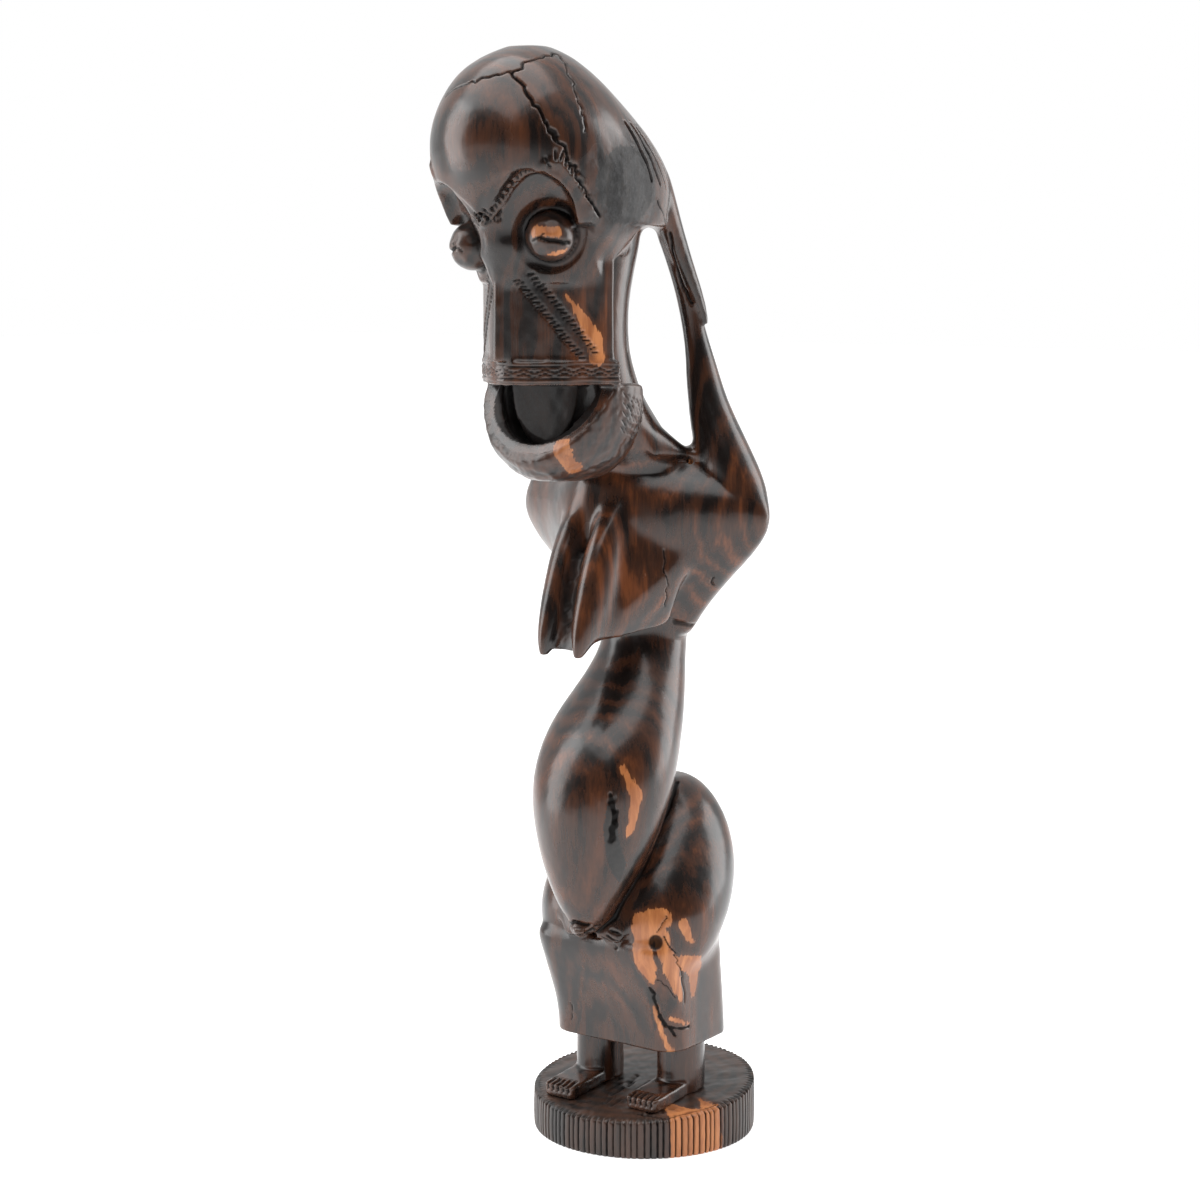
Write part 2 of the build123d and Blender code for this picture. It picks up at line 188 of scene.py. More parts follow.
blank = {
    "pointSpacing": 0.7,  # millimetres
    # the hollows round the eyes: x, height and how far ahead, on the left side
    "hollow": [(0, 402, 113.2), (0, 396, 111.5), (0, 390, 109.2), (0, 384, 107.2), (0, 379, 105.6),
               (4, 381, 104.6), (6.2, 380, 100), (5.5, 388, 106.2), (8, 395, 106.2), (9, 387, 99.5),
               (4, 404, 113), (10, 411, 111), (18, 419.5, 109.5), (25, 423.5, 107), (31, 423.5, 102),
               (35, 415.5, 94), (37, 407, 87), (11, 404, 104), (14, 409, 103.5), (20, 413, 101),
               (27, 413, 97), (31, 408, 91), (9.5, 397, 101.5), (13, 390, 96), (20, 386, 91.5),
               (28, 388, 83), (31.5, 397, 82), (34.5, 400, 79), (31, 381, 75),
               (20, 380, 90), (12, 381, 95.5)],
    "helmet": [(0.00, -62.5, 0.95, 0.92), (0.12, -65.5, 0.99, 0.96), (0.31, -69.0, 1.00, 1.00),
               (0.50, -75.5, 0.93, 0.91)],  # share of the crown's height, y, width and depth
    "helmetSize": (43.0, 56.0),  # half its width and half its depth
    "crown": (403.5, 73.5),  # the brow's edge, and the height above it
    "temple": [(39, -86, 405), (40.5, -72, 405), (38, -54, 405), (33, -68.5, 389), (31, -73, 389),
               (25, -50, 390), (26, -82, 404), (36, -84, 398)],
    "shoulder": [(22, -42, 322), (19, -30, 325), (31, -20, 306), (36, -9, 304), (28, -3, 304), (10, -12, 308),
                 (10, -42, 325), (28, -34, 305)],
    "lap": [(3, -43, 95), (15, -41, 94), (22, -37, 103), (18, -31, 119), (9, -38, 112), (6, -28, 94)],
    "flank": [(11, -53, 234), (11, -49, 252), (11, -38, 272), (24, -14, 231), (31, -19, 247), (38, -18, 264),
              (30, -24, 278), (8, -20, 236), (8, -20, 276), (10, -56, 226), (17, -36, 229)],
    "valley": [(4, -49, 262), (-4, -49, 262), (5, -55, 242), (-5, -55, 242), (6, -60, 223.5),
               (-6, -60, 223.5), (6, -40, 236), (-6, -40, 236), (0, -34, 272)],
    "underlip": [(26, -78, 338.5), (-26, -78, 338.5), (26, -66, 338.5), (-26, -66, 338.5),
                 (24, -68, 350), (-24, -68, 350)],
}


def wedge(corners):
    shape = bmesh.new()
    for corner in corners:
        shape.verts.new([value * mm for value in corner])
    bmesh.ops.convex_hull(shape, input=shape.verts)
    bmesh.ops.delete(shape, geom=[v for v in shape.verts if not v.link_faces], context="VERTS")
    bmesh.ops.recalc_face_normals(shape, faces=shape.faces)
    mesh = bpy.data.meshes.new("wedge")
    shape.to_mesh(mesh)
    shape.free()
    return mesh


def browSheet():
    # one sheet for the brow: the skull's front above the brow line, the eye hollows below it
    step, back = 0.6, -70.0
    x, z = np.meshgrid(np.arange(-38.4, 38.5, step), np.arange(379.0, 439.0, step))
    wide = np.abs(x)
    known = np.array([(side * px, pz, py) for side in both for px, pz, py in blank["hollow"]
                      if side > 0 or px > 0], float)
    drop = head["eyes"][1][2] - head["eyes"][-1][2]
    away = np.hypot(known[:, 0] + 19.6, known[:, 1] - 397)
    known[:, 1] -= np.where(known[:, 0] < 0, drop * fade(np.clip((19 - away) / 8, 0, 1)), 0)

    def spread(px, pz):
        gap = np.hypot(px[:, None] - known[None, :, 0], pz[:, None] - known[None, :, 1])
        bent = gap ** 2 * np.log(gap + 1e-9)
        return np.concatenate([bent, np.ones((len(px), 1)), px[:, None], pz[:, None]], axis=1)

    count = len(known)
    system = np.zeros((count + 3, count + 3))
    system[:count] = spread(known[:, 0], known[:, 1])
    system[:count, :count] += np.eye(count) * 2.0
    system[count:, :count] = system[:count, count:].T
    weights = np.linalg.solve(system, np.concatenate([known[:, 2], np.zeros(3)]))
    hollow = -(spread(x.ravel(), z.ravel()) @ weights).reshape(x.shape)
    share = (z - blank["crown"][0]) / blank["crown"][1]
    rows = np.array(blank["helmet"])
    middle, halfWide, halfDeep = (np.interp(share, rows[:, 0], rows[:, k]) for k in (1, 2, 3))
    width, depth = blank["helmetSize"]
    curve = np.sqrt(np.clip(1 - (x / (width * halfWide)) ** 2, 0, 1))
    helmet = middle - depth * halfDeep * curve + 0.15
    line = np.array(head["browLine"][1:])
    level = np.interp(wide, line[:, 0], line[:, 2])
    edge = np.interp(wide, line[:, 0], line[:, 1])
    helmet += np.clip(edge - helmet, -6, 0) * fade(np.clip(1 - (z - level) / 12, 0, 1))
    front = np.where(z > level, helmet, hollow)
    outline = np.interp(z, (379, 389, 398, 404, 412), (30.5, 31.2, 34.2, 36.8, 38.2))
    kept = (wide < outline) & (front < back - 1)
    kept = kept[:-1, :-1] & kept[1:, :-1] & kept[:-1, 1:] & kept[1:, 1:]
    rowCount, columnCount = x.shape
    index = np.arange(rowCount * columnCount).reshape(rowCount, columnCount)
    points = np.concatenate([np.stack([x, front, z], axis=2).reshape(-1, 3),
                             np.stack([x, x * 0 + back, z], axis=2).reshape(-1, 3)])
    far = rowCount * columnCount
    corners = [index[:-1, :-1][kept], index[:-1, 1:][kept], index[1:, 1:][kept], index[1:, :-1][kept]]
    faces = [np.stack(corners, axis=1), np.stack(corners[::-1], axis=1) + far]
    framed = np.pad(kept, 1)
    for side, (down, over) in enumerate(((-1, 0), (0, 1), (1, 0), (0, -1))):
        beside = framed[1 + down:1 + down + kept.shape[0], 1 + over:1 + over + kept.shape[1]]
        rim = (~beside)[kept]
        start, end = corners[side][rim], corners[(side + 1) % 4][rim]
        faces.append(np.stack([end, start, start + far, end + far], axis=1))
    mesh = bpy.data.meshes.new("brow")
    mesh.from_pydata((points * mm).tolist(), [], np.concatenate(faces).tolist())
    loose = bmesh.new()
    loose.from_mesh(mesh)
    bmesh.ops.delete(loose, geom=[v for v in loose.verts if not v.link_faces], context="VERTS")
    loose.to_mesh(mesh)
    loose.free()
    return mesh


def roughOut():
    rough = bmesh.new()
    for name, node in frame["nodes"].items():
        if name != "plinth":
            rough.from_mesh(node.data)
    extra = [blank["valley"], blank["underlip"]]
    fillers = ("temple", "shoulder", "lap", "flank")
    extra += [mirrored(blank[name], side) for side in both for name in fillers]
    for mesh in [wedge(corners) for corners in extra] + [browSheet()]:
        rough.from_mesh(mesh)
        bpy.data.meshes.remove(mesh)
    mesh = bpy.data.meshes.new("roughed out")
    rough.to_mesh(mesh)
    rough.free()
    block = bpy.data.objects.new("roughed out", mesh)
    bpy.context.scene.collection.objects.link(block)
    saw = block.modifiers.new("saw", "REMESH")
    saw.mode = "VOXEL"
    saw.voxel_size = blank["pointSpacing"] * mm
    whole = bpy.data.meshes.new_from_object(block.evaluated_get(bpy.context.evaluated_depsgraph_get()))
    points = np.empty(len(whole.vertices) * 3)
    whole.vertices.foreach_get("co", points)
    quads = np.empty(len(whole.loops), dtype=np.int64)
    whole.loops.foreach_get("vertex_index", quads)
    bpy.data.objects.remove(block)
    bpy.data.meshes.remove(mesh)
    bpy.data.meshes.remove(whole)
    return dropCrumbs(points.reshape(-1, 3) / mm, quads.reshape(-1, 4))


def dropCrumbs(points, quads):
    # keep only the largest connected body
    group = np.arange(len(points))
    while True:
        lowest = group[quads].min(axis=1)
        spread = group.copy()
        for k in range(4):
            np.minimum.at(spread, quads[:, k], lowest)
        spread = spread[spread]
        if (spread == group).all():
            break
        group = spread
    names, sizes = np.unique(group, return_counts=True)
    keep = group == names[sizes.argmax()]
    order = np.cumsum(keep) - 1
    return points[keep], order[quads[keep[quads[:, 0]]]]


figure = Clay(*roughOut())
print("roughed out:", len(figure.points), "points")

fairing = {
    "everywhere": 5,  # rounds
    "joins": [  # line on the left side, reach, rounds
        ([(9, -38, 290), (13, -48, 268), (13, -52, 250), (13, -50, 234)], 17, 90),
        ([(42, -2, 306), (54, -2, 300), (63, 0, 285)], 17, 110),
        ([(0, -40, 306), (20, -33, 307), (33, -14, 307), (36, 2, 306)], 16, 120),
        ([(0, -2, 300), (25, 4, 306), (40, 4, 304)], 14, 90),
        ([(24, -14, 232), (33, -19, 250), (41, -19, 268), (32, -26, 284)], 13, 110),
        ([(17, -36, 229), (24, -14, 231), (26, 2, 230)], 6, 24),
        ([(30, -26, 286), (12, -40, 280), (20, -34, 260)], 15, 150),
        ([(0, -44, 299), (20, -38, 299), (33, -22, 301), (34, -6, 301)], 10, 120),
        ([(18, -14, 226), (24, 0, 228), (16, 12, 228), (0, 16, 228)], 8, 60),
        ([(4, -104, 379), (8, -98, 380), (12, -96, 384)], 6, 30),
        ([(33, -68, 352), (33, -68, 392)], 4, 12),
        ([(8, -108, 398), (10, -102, 392), (12, -98, 386)], 7, 30),
        ([(3, -114, 418), (10, -116, 426), (18, -115, 434)], 7, 40),
        ([(4, -42, 96), (16, -40, 97), (20, -34, 108)], 6, 30),
        ([(38, -84, 402), (37, -70, 396), (33, -56, 396)], 12, 110),
        ([(10, 20, 96), (24, 18, 94)], 10, 60),
        ([(12, -38, 112), (16, -28, 128), (19, -12, 146), (14, 8, 158)], 5, 22),
        ([(30, -60, 400), (22, -34, 400), (22, -20, 404)], 11, 70),
        ([(30, -52, 336), (24, -44, 318), (8, -44, 302)], 10, 70),
        ([(24, -62, 344), (24, -60, 370), (25, -58, 396)], 8, 40),
        ([(3, -111, 396), (0, -108, 388), (0, -106, 380), (0, -105, 374)], 6, 24),
        ([(37, -90, 404), (20, -88, 388), (30, -78, 391)], 7, 40),
        ([(25, -36, 410), (24, -26, 412), (22, -18, 404)], 8, 60),
        ([(0, -56, 222), (16, -30, 226), (24, -6, 230)], 7, 20),
        ([(15, -46, 268), (17, -50, 254), (16, -54, 240)], 7, 60),
        ([(20, -30, 228), (26, -16, 229), (28, -2, 230)], 8, 50),
    ],
    "nearKnee": ((34, -12, 92), (22, 34, 19), 120),  # middle, size and rounds; the far knee stays sharp
    "farKnee": ((-33, -8, 92), (14, 24, 13), 40),
}


def fairUp():
    rounds = np.full(len(figure.points), float(fairing["everywhere"]))
    for line, reach, turns in fairing["joins"]:
        for side in both:
            which, away = figure.around(mirrored(line, side), reach)
            rounds[which] = np.maximum(rounds[which], turns * fade(np.clip(1 - away / reach, 0, 1)))
    for middle, size, turns in (fairing["nearKnee"], fairing["farKnee"]):
        rounds = np.maximum(rounds, turns * fade(np.clip(oval(figure.points, middle, size) * 2, 0, 1)))
    body = (figure.points[:, 2] > 50) & (figure.points[:, 2] < 322)
    tips = oval(figure.points, (0, -66, 226), (16, 12, 22)) > 0
    rounds[body & ~tips] = np.maximum(rounds[body & ~tips], 22)
    crown = oval(figure.points, (0, -70, 450), (60, 70, 42)) > 0
    rounds[crown] = np.maximum(rounds[crown], 24)
    for side in both:
        away = np.linalg.norm(figure.points - head["eyes"][side], axis=1)
        rounds = np.where(away < 10.4, 4, np.where(away < 14, np.maximum(rounds, 14), rounds))
    figure.rub(rounds)
    figure.feel()


fairUp()
print("faired")

def carveEyes():
    for side in both:
        eye = np.array(head["eyes"][side])
        away = np.linalg.norm(figure.points - eye, axis=1)
        ring = (away > head["eyeRadius"] + 0.4) & (away < head["moatReach"])
        ring &= figure.points[:, 1] < -80
        share = (head["moatReach"] - away[ring]) / (head["moatReach"] - head["eyeRadius"])
        deep = head["moatDepth"] * np.sin(np.clip(share, 0, 1) * math.pi / 1.3)
        figure.points[ring, 1] += deep
        # the ball is cut in flat facets, and a slit runs across it, blackened as painted shade
        ball = (away < head["eyeRadius"] + 0.8) & (figure.points[:, 1] < eye[1])
        way = (figure.points[ball] - eye) / away[ball][:, None]
        flats = np.array([(0.25, -0.93, 0.28), (-0.55, -0.78, 0.3), (0.62, -0.7, 0.35), (0.1, -0.83, -0.55),
                          (-0.5, -0.72, -0.48), (0.66, -0.65, -0.38), (0.0, -0.6, 0.8)])
        flats[:, 0] *= side
        flats /= np.linalg.norm(flats, axis=1, keepdims=True)
        level = (way @ flats.T).max(axis=1)
        reach = np.minimum(away[ball], head["eyeRadius"] * head["facets"] / level)
        figure.points[ball] = eye + way * reach[:, None]
        slit = [onEye(side, -4, -1), onEye(side, 2, -2.2), onEye(side, 8, -2.6)]
        figure.cut(figure.trace(slit, 2), 1.3, 1.0, 1.0)
        figure.cut(figure.trace([onEye(side, -7, -2), onEye(side, -2, 1)], 2), 0.8, 0.4, 0.7)
        # a ring of painted shade darkens the groove round the ball
        around = fade(np.clip(1 - np.abs(away - 11.0) / 1.8, 0, 1)) * (figure.points[:, 1] < -84)
        figure.flaw = np.maximum(figure.flaw, 0.6 * around)


def onEye(side, across, up):
    # a place on the front of an eyeball, seen from ahead and a little to one side
    turn = math.radians(36)
    forward = math.sqrt(head["eyeRadius"] ** 2 - across ** 2 - up ** 2)
    offset = np.array((math.cos(turn) * across + math.sin(turn) * forward,
                       math.sin(turn) * across - math.cos(turn) * forward, up))
    return head["eyes"][side] + offset * (side, 1, 1)


def carveBrow():
    for side in both:
        line = figure.trace(mirrored(head["browLine"][1:], side), 3)
        figure.cut(line, 3.2, -0.8)
        figure.feel()
        carveChips(side)


def carveChips(side):
    line = figure.trace(mirrored(head["browLine"], side), 1.9)
    for place, after in zip(line[:-1], line[1:]):
        along = after - place
        if np.linalg.norm(along) < 0.3:
            continue
        out = np.array((-along[2] * side, 0, along[0] * side)) / np.linalg.norm(along)
        out = out + (-0.1 * side, 0, 0.35)
        out = out / np.linalg.norm(out)
        end = place + out * head["chipLength"] * dice.uniform(0.8, 1.15)
        # each chip is darkened a little as painted shade
        figure.cut(figure.trace([place + out * 0.3, end], 2), 0.9, 0.85, 0.4, True)


def carveCheeks():
    for side in both:
        top, foot = np.array(head["ladderTop"]), np.array(head["ladderFoot"])
        for rung in range(head["ladderRungs"]):
            middle = top + (foot - top) * rung / (head["ladderRungs"] - 1)
            for row in (-1, 1):
                near = middle + np.array((1.25, 0.95, 0.75)) * row * 1.15
                tip = near + np.array((1.0, 0.8, 0.25)) * row * 1.7
                line = np.array(mirrored([near, tip], side))
                # each nick is darkened as painted shade
                figure.cut(figure.trace(line, 3), 0.85, 0.8, 0.55, True)
        spine = figure.trace(mirrored([top, foot], side), 3)
        which, away = figure.around(spine, 3.6)
        figure.rough[which] = np.maximum(figure.rough[which], 0.75 * fade(np.clip(1.25 - away / 3.6, 0, 1)))


def carveLip():
    x, y, z = figure.points.T
    front = (z > 336.5) & (z < 349) & (y < -66.5) & (np.abs(x) < 37)
    front &= (figure.normals[:, 1] < -0.05) | (np.abs(figure.normals[:, 0]) > 0.3)
    arc = np.degrees(np.arctan2(x, -(y + 60)))[front]
    height = z[front] + 0.25 * np.sin(arc * 0.09)
    deep = np.zeros(front.sum())
    for level in head["lipLevels"]:
        deep = np.maximum(deep, np.clip(1 - np.abs(height - level) / 0.6, 0, 1))
    zigzag = np.abs((arc * 0.16) % 2 - 1) * 2 - 1
    for level in head["lipWaves"]:
        deep = np.maximum(deep, np.clip(1 - np.abs(height - level - 0.75 * zigzag) / 0.7, 0, 1))
    figure.points[front] -= figure.normals[front] * (0.6 * deep)[:, None]
    # the lip grooves are darkened as painted shade
    figure.flaw[front] = np.maximum(figure.flaw[front], 0.35 * deep)


cracks = [  # places, width, depth, blackness
    ([(13, -111, 461), (20, -112, 454), (26, -111, 446.5), (30, -109, 439)], 1.0, 1.5, 1.0),
    ([(30, -109, 439), (32, -107, 436)], 1.9, 1.6, 1.0),
    ([(32, -107, 436), (34, -103.5, 430), (36, -99, 422), (36.5, -97, 418), (37.5, -92, 411), (38, -87, 406)],
     0.9, 1.3, 1.0),
    ([(-14, -112, 450), (-4, -115, 456), (6, -116, 459.5), (13, -111, 461)], 0.75, 0.9, 0.7),
    ([(13, -111, 461), (15.5, -103, 466), (17, -94, 469), (17, -86, 470)], 0.75, 1.0, 0.9),
    ([(17, -86, 470), (28, -92, 460), (35, -94, 446), (36, -94, 438)], 0.6, 0.6, 0.5),
    ([(29, -28, 266), (29.5, -27, 252), (29, -24, 240)], 0.55, 0.6, 0.8),
    ([(41, -7, 252), (40, -6, 246)], 0.6, 0.6, 0.6),
    ([(29, -31, 80), (32, -24, 70)], 0.5, 0.5, 0.6),
    ([(31, -31, 98), (34, -22, 80), (34, -18, 66)], 0.55, 0.6, 0.8),
    ([(33, -29, 108), (30, -33, 100)], 0.5, 0.5, 0.6),
    ([(-20, -26, 60), (-21, -26, 50)], 0.5, 0.4, 0.6),
    ([(24, -44, 356), (24.5, -44, 350)], 0.5, 0.5, 0.8),
]


def carveCracks():
    for places, width, depth, black in cracks:
        figure.cut(figure.trace(places, 2.2, 0.55), width, depth, black)


flaws = [  # places, width of the black rough bed
    ([(19.5, -55, 162), (21.5, -53, 156), (22, -53, 150), (20.5, -54, 144)], 1.6),
    ([(26.5, -33, 75), (28, -31, 67), (28, -30, 60), (31, -20, 52)], 0.8),
    ([(28, -30, 60), (31, -24, 55), (32.5, -15, 54)], 0.7),
]


def carveFlaws():
    for places, width in flaws:
        line = figure.trace(places, 3, 0.5)
        which, away = figure.around(line, width * 1.7)
        uneven = 0.8 * grit(figure.points[which] * (1, 1, 0.4), 1.6, 5)
        share = fade(np.clip(1.2 - away / (width * 1.2) + uneven, 0, 1))
        lumps = 0.3 + 0.8 * grit(figure.points[which], 1.9, 8)
        figure.points[which] -= figure.normals[which] * (share * lumps)[:, None]
        figure.flaw[which] = np.maximum(figure.flaw[which], share)
        figure.rough[which] = np.maximum(figure.rough[which], 0.3 * share)


puttyBed = {
    "middle": (40, -70, 418),
    "size": (24, 29, 25),
    "shares": ((1, 1.0), (-1, 0.55)),  # the patch behind the right eye is smaller
}


def roughHead():
    # the filled, matt patches behind the eyes
    for side, size in puttyBed["shares"]:
        middle = puttyBed["middle"] * np.array((side, 1, 1))
        bed = oval(figure.points, middle, np.array(puttyBed["size"]) * size)
        which = np.nonzero(bed > -0.2)[0]
        places = figure.points[which]
        bed = fade(np.clip(bed[which] * 2.6 + 0.7 * grit(places, 9, 3), 0, 1))
        lumps = 0.45 * grit(places, 9, 21) + 0.16 * grit(places, 3.5, 22) + 0.08 * grit(places, 1.4, 23)
        figure.points[which] -= figure.normals[which] * (bed * (lumps + 0.2))[:, None]
        figure.rough[which] = np.maximum(figure.rough[which], bed)


jaw = {
    "middle": (0, -58, 330),
    "size": (35, 40, 33),
    "levels": (294, 338),
    "back": -52,
    "mouth": ((0, -62, 326), (30, 24, 26)),  # middle and size of the mouth's inside, darkened as painted shade
    "farRim": ((-26, -72, 320), (16, 20, 26)),
    "farPush": (-1.3, -0.3, -0.4),
    "nickRows": 5,
    "nickColumns": 6,
}


def carveJaw():
    # short tool marks all over the outside of the jaw
    skin = (((figure.points - np.array(jaw["middle"])) / jaw["size"]) ** 2).sum(axis=1) > 0.86
    low, high = jaw["levels"]
    skin &= (figure.points[:, 2] < high) & (figure.points[:, 2] > low) & (figure.points[:, 1] < jaw["back"])
    which = np.nonzero(skin)[0]
    places = figure.points[which]
    lumps = 0.32 * grit(places * (1, 1, 1.5), 6, 31) + 0.22 * grit(places, 2.4, 32)
    figure.points[which] -= figure.normals[which] * lumps[:, None]
    figure.rough[which] = np.maximum(figure.rough[which], 0.3)
    # painted shade: the inside of the mouth is darkened, and made rough
    shadedMouth = (oval(figure.points, *jaw["mouth"]) > 0) & ~skin
    figure.flaw = np.maximum(figure.flaw, 0.6 * shadedMouth)
    figure.rough = np.maximum(figure.rough, 0.9 * shadedMouth)
    # the rim stands a little further out on the far side
    far = fade(np.clip(oval(figure.points, *jaw["farRim"]) * 2, 0, 1)) * skin
    figure.points += np.array(jaw["farPush"]) * far[:, None]
    for side in both:
        for row in range(jaw["nickRows"]):
            for column in range(jaw["nickColumns"]):
                start = np.array((side * 34, -64 + 2.4 * column, 334 - 3.6 * row - 0.8 * column))
                end = start + np.array((0, 2.0, -2.6))
                # each nick is darkened a little as painted shade
                figure.cut(figure.trace([start, end], 3), 0.65, 0.4, 0.3, True)


locks = {
    "grooves": [[(37, -68, 443), (40, -62, 432), (42, -56, 420)],
                [(36.5, -63, 443), (39, -55, 430), (40, -47, 419)],
                [(36, -58, 442), (37, -49, 430), (36, -40, 418)],
                [(34, -54, 442), (34, -44, 430), (31, -33, 419)]],
    "crease": [(38, -50, 412), (31, -27, 400), (27, -20, 392), (27, -12, 380), (29, -8, 370)],
}


def carveLocks():
    for side in both:
        # the hair grooves and the crease are darkened as painted shade
        for line in locks["grooves"]:
            figure.cut(figure.trace(mirrored(line, side), 7), 1.5, 1.3, 0.6)
        figure.cut(figure.trace(mirrored(locks["crease"], side), 3), 1.2, 0.9, 0.6)


trunk = {
    "thighCrease": [(5, -44, 97), (12, -40, 105), (17, -33, 120), (19, -22, 136), (19, -8, 150),
                    (15, 4, 159)],
    "waistCrease": [(14, -36, 223), (24, -14, 229), (26, 0, 229)],
    "valley": ((0, -52, 250), (5, 18, 36)),  # middle and size
    # middle and size of the painted shade under the breasts
    "undercutShade": ((6, -44, 217), (15, 12, 10)),
    "navelLids": [([(-5, -50, 101.5), (0, -53, 104.2), (6, -50, 102.5)], 1.3),
                  ([(-4, -50, 99.5), (1, -52, 97.2), (7, -48, 99)], 1.2)],  # places and depth
    "navelFolds": [((6, -48, 100), (14, -41, 94)), ((4, -48, 97), (12, -40, 91)),
                   ((7, -47, 102), (16, -38, 98))],
}


def carveBody():
    for side in both:
        # the thigh and waist creases are darkened as painted shade
        figure.cut(figure.trace(mirrored(trunk["thighCrease"], side), 4), 1.8, 0.9, 0.75)
        figure.cut(figure.trace(mirrored(trunk["waistCrease"], side), 4), 2.2, 0.8, 0.6)
    # the rough valley between the breasts, its darkness painted shade, and painted shade in the undercut below
    # them
    bed = fade(np.clip(oval(figure.points, *trunk["valley"]) * 2.2, 0, 1))
    figure.points -= figure.normals * (bed * (0.25 + 0.25 * ripple(figure.points, 3.5, 41)))[:, None]
    figure.flaw = np.maximum(figure.flaw, 0.55 * bed)
    figure.rough = np.maximum(figure.rough, 0.5 * bed)
    shadeUnder = fade(np.clip(oval(figure.points, *trunk["undercutShade"]) * 1.6, 0, 1))
    figure.flaw = np.maximum(figure.flaw, 0.8 * shadeUnder)
    # the navel: two lids round a knob, their grooves darkened as painted shade
    for line, depth in trunk["navelLids"]:
        figure.cut(figure.trace(line, 2), 1.4, depth, 0.85)
    for start, end in trunk["navelFolds"]:
        figure.cut(figure.trace([start, end], 3), 1.0, 0.7, 0.6)
    figure.cut([figure.touch((1.5, -53.5, 100.6)), figure.touch((3.6, -53, 100.2))], 2.0, -1.7)


feet = {"stance": 20.5, "width": 16.5, "forward": 35.0, "stagger": 2.5, "toes": 5}


def carveFeet():
    for side in both:
        ahead = side * feet["stagger"] - feet["forward"]
        for toe in range(1, feet["toes"] + 1):
            x = side * feet["stance"] - feet["width"] / 2 + feet["width"] * toe / (feet["toes"] + 1)
            line = [(x - 0.8, ahead + 6.5, 24), (x, ahead + 0.5, 23.2), (x, ahead - 0.3, 20.5)]
            # the gaps between the toes are darkened as painted shade
            figure.cut(figure.trace(line, 2), 0.95, 1.2, 0.6, True)


sapPatches = [  # places, and how wide the sapwood is at each; below zero it only stains
    ([(21, -86, 374.5), (26, -80.5, 364), (29, -77, 355), (29.3, -76, 349)], (0.4, 2.4, 3.6, 3.4)),
    ([onEye(1, -5.5, 1.5), onEye(1, 3, 1.2)], (2.6, 1.9)),
    ([onEye(1, 0.5, -7.5), onEye(1, 5.5, -6)], (1.4, 1.2)),
    ([(16, -84, 313), (17, -75, 303)], (3.8, 3.2)),
    ([(22.5, -49, 174), (27.5, -45, 162), (26.5, -46, 154), (25.4, -47, 146)], (1.2, 3.0, 2.2, 1.6)),
    ([(24, -37, 105), (32, -32, 106)], (4.4, 4.4)),
    ([(25, -38, 101), (25, -38, 93), (27, -36, 85), (28.5, -34, 77)], (5.0, 4.8, 4.4, 1.2)),
    ([(31, -33, 100), (31, -31, 92), (32, -28, 84), (34, -21, 68)], (3.6, 3.2, 4.6, 1.0)),
    ([(33, -26, 86), (36, -16, 84), (36, -12, 80), (35, -12, 68)], (3.5, 4.6, 4.6, 1.2)),
    ([(37, -25, 103), (39, -21, 95)], (2.6, 0.9)),
    ([(-6, -37, 84), (-14, -32, 64), (-20.5, -27, 46)], (-0.9, -0.6, -1.0)),
    ([(27, -32, 64), (28.5, -28, 52), (29.5, -22, 45)], (1.2, 0.9, 1.6)),
    ([(31, -24, 60), (33, -15, 56)], (0.6, 0.9)),
]
kneeKnot = ((29.5, -33.5, 95.5), (4, 4, 4.6))  # middle and size


def sapwood():
    for places, radii in sapPatches:
        figure.patch(places, radii)
    knot = fade(np.clip(oval(figure.points, *kneeKnot) * 2.5, 0, 1))
    figure.flaw = np.maximum(figure.flaw, knot)
    figure.points -= figure.normals * (knot * 0.5)[:, None]


redder = [  # middle and size of the parts that are redder than the rest
    ((24, -20, 268), (52, 62, 58)),
    ((24, -80, 372), (17, 26, 34)),
    ((50, -4, 320), (22, 22, 44)),
    ((10, -56, 190), (26, 26, 40)),
    ((-8, -110, 428), (26, 20, 26)),
    ((36, -10, 128), (26, 40, 40)),
]


def wear():
    # the slow unevenness of hand work, then painted shade darkening the hollows
    figure.feel()
    uneven = 0.16 * ripple(figure.points, 36, 51) + 0.03 * ripple(figure.points, 9, 52)
    figure.points += figure.normals * (uneven * (figure.points[:, 2] > 30))[:, None]
    figure.feel()
    soft = figure.points.copy()
    for _ in range(6):
        soft += 0.6 * (figure.neighbours(soft) - soft)
    hollow = ((soft - figure.points) * figure.normals).sum(axis=1)
    figure.flaw = np.maximum(figure.flaw, np.clip(hollow * 3.2 - 0.12, 0, 0.8))
    figure.edge = np.clip(-hollow * 3.0 - 0.1, 0, 1)
    for middle, size in redder:
        figure.warm = np.maximum(figure.warm, fade(np.clip(oval(figure.points, middle, size) * 1.8, 0, 1)))


for job in (carveEyes, carveBrow, carveCheeks, carveLip, carveCracks, carveFlaws, roughHead, carveJaw,
            carveLocks, carveBody, carveFeet, sapwood, wear):
    job()
    figure.feel()
    print("carved:", job.__name__)

base = {
    "radius": 50.0,
    "thickness": 20.4,
    "slope": 4.9,  # degrees, up towards the back
    "grooves": 112,
    "grooveDepth": 1.0,
    "nickDepth": 1.7,
    "sapFrom": -42.0,  # degrees round from the figure's left
    "sapTo": -12.0,
    "columnsPerGroove": 8,
    "rimRows": 22,
    "topRings": 44,
    "footInset": 4.0,
    "edgeRound": 0.75,
    "gougesPerFoot": 13,
    "gougesBetween": 8,
}


